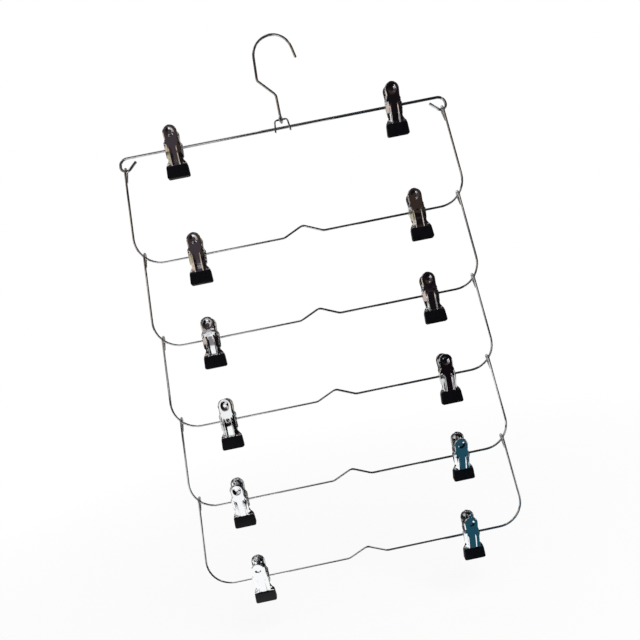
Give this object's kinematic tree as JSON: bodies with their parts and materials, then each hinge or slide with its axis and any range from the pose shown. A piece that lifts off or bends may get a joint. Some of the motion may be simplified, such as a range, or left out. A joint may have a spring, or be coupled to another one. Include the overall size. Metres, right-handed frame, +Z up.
{
  "type": "multi tier trouser hanger",
  "caption": "Chromed wire hanger with a swinging hook, a top bar and U-shaped tier frames hanging in a chain, each bar with sliding spring clips that have vinyl-covered jaws.",
  "frame": {"origin": "where a rail touches the inside of the hook's crown, straight above the middle of the bars", "axes": "+Z up, +X along the bars to the right as seen from the front, +Y to the back"},
  "size_m": [0.3414, 0.0285, 0.5753],
  "materials": {
    "chrome_wire": "bright chrome plated steel wire",
    "chrome_sheet": "bright chrome plated pressed steel sheet",
    "black_vinyl": "dipped black vinyl, satin"
  },
  "bodies": {
    "hook": {"hook": "chrome_wire"},
    "top_bar": {"row1_top_bar": "chrome_wire", "bail": "chrome_wire"},
    "row2_frame": {"row2_frame": "chrome_wire"},
    "row3_frame": {"row3_frame": "chrome_wire"},
    "row4_frame": {"row4_frame": "chrome_wire"},
    "row5_frame": {"row5_frame": "chrome_wire"},
    "row6_frame": {"row6_frame": "chrome_wire"},
    "row1_left_clip": {"row1_left_rear_plate": "chrome_sheet", "row1_left_rear_boot": "black_vinyl"},
    "row1_left_jaw": {"row1_left_front_plate": "chrome_sheet", "row1_left_front_boot": "black_vinyl"},
    "row1_right_clip": {"row1_right_rear_plate": "chrome_sheet", "row1_right_rear_boot": "black_vinyl"},
    "row1_right_jaw": {"row1_right_front_plate": "chrome_sheet", "row1_right_front_boot": "black_vinyl"},
    "row2_left_clip": {"row2_left_rear_plate": "chrome_sheet", "row2_left_rear_boot": "black_vinyl"},
    "row2_left_jaw": {"row2_left_front_plate": "chrome_sheet", "row2_left_front_boot": "black_vinyl"},
    "row2_right_clip": {"row2_right_rear_plate": "chrome_sheet", "row2_right_rear_boot": "black_vinyl"},
    "row2_right_jaw": {"row2_right_front_plate": "chrome_sheet", "row2_right_front_boot": "black_vinyl"},
    "row3_left_clip": {"row3_left_rear_plate": "chrome_sheet", "row3_left_rear_boot": "black_vinyl"},
    "row3_left_jaw": {"row3_left_front_plate": "chrome_sheet", "row3_left_front_boot": "black_vinyl"},
    "row3_right_clip": {"row3_right_rear_plate": "chrome_sheet", "row3_right_rear_boot": "black_vinyl"},
    "row3_right_jaw": {"row3_right_front_plate": "chrome_sheet", "row3_right_front_boot": "black_vinyl"},
    "row4_left_clip": {"row4_left_rear_plate": "chrome_sheet", "row4_left_rear_boot": "black_vinyl"},
    "row4_left_jaw": {"row4_left_front_plate": "chrome_sheet", "row4_left_front_boot": "black_vinyl"},
    "row4_right_clip": {"row4_right_rear_plate": "chrome_sheet", "row4_right_rear_boot": "black_vinyl"},
    "row4_right_jaw": {"row4_right_front_plate": "chrome_sheet", "row4_right_front_boot": "black_vinyl"},
    "row5_left_clip": {"row5_left_rear_plate": "chrome_sheet", "row5_left_rear_boot": "black_vinyl"},
    "row5_left_jaw": {"row5_left_front_plate": "chrome_sheet", "row5_left_front_boot": "black_vinyl"},
    "row5_right_clip": {"row5_right_rear_plate": "chrome_sheet", "row5_right_rear_boot": "black_vinyl"},
    "row5_right_jaw": {"row5_right_front_plate": "chrome_sheet", "row5_right_front_boot": "black_vinyl"},
    "row6_left_clip": {"row6_left_rear_plate": "chrome_sheet", "row6_left_rear_boot": "black_vinyl"},
    "row6_left_jaw": {"row6_left_front_plate": "chrome_sheet", "row6_left_front_boot": "black_vinyl"},
    "row6_right_clip": {"row6_right_rear_plate": "chrome_sheet", "row6_right_rear_boot": "black_vinyl"},
    "row6_right_jaw": {"row6_right_front_plate": "chrome_sheet", "row6_right_front_boot": "black_vinyl"}
  },
  "joints": [
    {"name": "hook_swing", "type": "hinge", "parent": "hook", "child": "top_bar", "pos_m": [0, 0, -0.08074], "axis": [1, 0, 0], "range_deg": [-75, 75]},
    {"name": "row2_swing", "type": "hinge", "parent": "top_bar", "child": "row2_frame", "pos_m": [0, 0, -0.1016], "axis": [1, 0, 0], "range_deg": [-50, 50]},
    {"name": "row3_swing", "type": "hinge", "parent": "row2_frame", "child": "row3_frame", "pos_m": [0, -0.00031, -0.18879], "axis": [1, 0, 0], "range_deg": [-50, 50]},
    {"name": "row4_swing", "type": "hinge", "parent": "row3_frame", "child": "row4_frame", "pos_m": [0, -0.00066, -0.27499], "axis": [1, 0, 0], "range_deg": [-50, 50]},
    {"name": "row5_swing", "type": "hinge", "parent": "row4_frame", "child": "row5_frame", "pos_m": [0, -0.00101, -0.36119], "axis": [1, 0, 0], "range_deg": [-50, 50]},
    {"name": "row6_swing", "type": "hinge", "parent": "row5_frame", "child": "row6_frame", "pos_m": [0, -0.00135, -0.44739], "axis": [1, 0, 0], "range_deg": [-50, 50]},
    {"name": "row1_left_slide", "type": "slide", "parent": "top_bar", "child": "row1_left_clip", "axis": [1, 0, 0], "range_m": [-0.0233, 0.0897]},
    {"name": "row1_left_open", "type": "hinge", "parent": "row1_left_clip", "child": "row1_left_jaw", "pos_m": [-0.11075, 0, -0.08894], "axis": [-1, 0, 0], "range_deg": [0, 28], "stiffness_Nm_per_rad": 0.25, "springref_deg": -51.57},
    {"name": "row1_right_slide", "type": "slide", "parent": "top_bar", "child": "row1_right_clip", "axis": [1, 0, 0], "range_m": [-0.0931, 0.0199]},
    {"name": "row1_right_open", "type": "hinge", "parent": "row1_right_clip", "child": "row1_right_jaw", "pos_m": [0.11414, 0, -0.08894], "axis": [-1, 0, 0], "range_deg": [0, 28], "stiffness_Nm_per_rad": 0.25, "springref_deg": -51.57},
    {"name": "row2_left_slide", "type": "slide", "parent": "row2_frame", "child": "row2_left_clip", "axis": [1, 0, 0], "range_m": [-0.0236, 0.0774]},
    {"name": "row2_left_open", "type": "hinge", "parent": "row2_left_clip", "child": "row2_left_jaw", "pos_m": [-0.11041, 0.00004, -0.19712], "axis": [-1, 0, 0], "range_deg": [0, 28], "stiffness_Nm_per_rad": 0.25, "springref_deg": -51.57},
    {"name": "row2_right_slide", "type": "slide", "parent": "row2_frame", "child": "row2_right_clip", "axis": [1, 0, 0], "range_m": [-0.085, 0.016]},
    {"name": "row2_right_open", "type": "hinge", "parent": "row2_right_clip", "child": "row2_right_jaw", "pos_m": [0.11804, 0.00004, -0.19712], "axis": [-1, 0, 0], "range_deg": [0, 28], "stiffness_Nm_per_rad": 0.25, "springref_deg": -51.57},
    {"name": "row3_left_slide", "type": "slide", "parent": "row3_frame", "child": "row3_left_clip", "axis": [1, 0, 0], "range_m": [-0.0193, 0.0817]},
    {"name": "row3_left_open", "type": "hinge", "parent": "row3_left_clip", "child": "row3_left_jaw", "pos_m": [-0.11465, -0.00031, -0.28331], "axis": [-1, 0, 0], "range_deg": [0, 28], "stiffness_Nm_per_rad": 0.25, "springref_deg": -51.57},
    {"name": "row3_right_slide", "type": "slide", "parent": "row3_frame", "child": "row3_right_clip", "axis": [1, 0, 0], "range_m": [-0.0828, 0.0182]},
    {"name": "row3_right_open", "type": "hinge", "parent": "row3_right_clip", "child": "row3_right_jaw", "pos_m": [0.11584, -0.00031, -0.28331], "axis": [-1, 0, 0], "range_deg": [0, 28], "stiffness_Nm_per_rad": 0.25, "springref_deg": -51.57},
    {"name": "row4_left_slide", "type": "slide", "parent": "row4_frame", "child": "row4_left_clip", "axis": [1, 0, 0], "range_m": [-0.019, 0.082]},
    {"name": "row4_left_open", "type": "hinge", "parent": "row4_left_clip", "child": "row4_left_jaw", "pos_m": [-0.11499, -0.00066, -0.36951], "axis": [-1, 0, 0], "range_deg": [0, 28], "stiffness_Nm_per_rad": 0.25, "springref_deg": -51.57},
    {"name": "row4_right_slide", "type": "slide", "parent": "row4_frame", "child": "row4_right_clip", "axis": [1, 0, 0], "range_m": [-0.0845, 0.0165]},
    {"name": "row4_right_open", "type": "hinge", "parent": "row4_right_clip", "child": "row4_right_jaw", "pos_m": [0.11753, -0.00066, -0.36951], "axis": [-1, 0, 0], "range_deg": [0, 28], "stiffness_Nm_per_rad": 0.25, "springref_deg": -51.57},
    {"name": "row5_left_slide", "type": "slide", "parent": "row5_frame", "child": "row5_left_clip", "axis": [1, 0, 0], "range_m": [-0.0131, 0.0879]},
    {"name": "row5_left_open", "type": "hinge", "parent": "row5_left_clip", "child": "row5_left_jaw", "pos_m": [-0.12093, -0.00101, -0.45571], "axis": [-1, 0, 0], "range_deg": [0, 28], "stiffness_Nm_per_rad": 0.25, "springref_deg": -51.57},
    {"name": "row5_right_slide", "type": "slide", "parent": "row5_frame", "child": "row5_right_clip", "axis": [1, 0, 0], "range_m": [-0.0835, 0.0175]},
    {"name": "row5_right_open", "type": "hinge", "parent": "row5_right_clip", "child": "row5_right_jaw", "pos_m": [0.11651, -0.00101, -0.45571], "axis": [-1, 0, 0], "range_deg": [0, 28], "stiffness_Nm_per_rad": 0.25, "springref_deg": -51.57},
    {"name": "row6_left_slide", "type": "slide", "parent": "row6_frame", "child": "row6_left_clip", "axis": [1, 0, 0], "range_m": [-0.0175, 0.0835]},
    {"name": "row6_left_open", "type": "hinge", "parent": "row6_left_clip", "child": "row6_left_jaw", "pos_m": [-0.11651, -0.00135, -0.54191], "axis": [-1, 0, 0], "range_deg": [0, 28], "stiffness_Nm_per_rad": 0.25, "springref_deg": -51.57},
    {"name": "row6_right_slide", "type": "slide", "parent": "row6_frame", "child": "row6_right_clip", "axis": [1, 0, 0], "range_m": [-0.0788, 0.0222]},
    {"name": "row6_right_open", "type": "hinge", "parent": "row6_right_clip", "child": "row6_right_jaw", "pos_m": [0.11177, -0.00135, -0.54191], "axis": [-1, 0, 0], "range_deg": [0, 28], "stiffness_Nm_per_rad": 0.25, "springref_deg": -51.57}
  ]
}
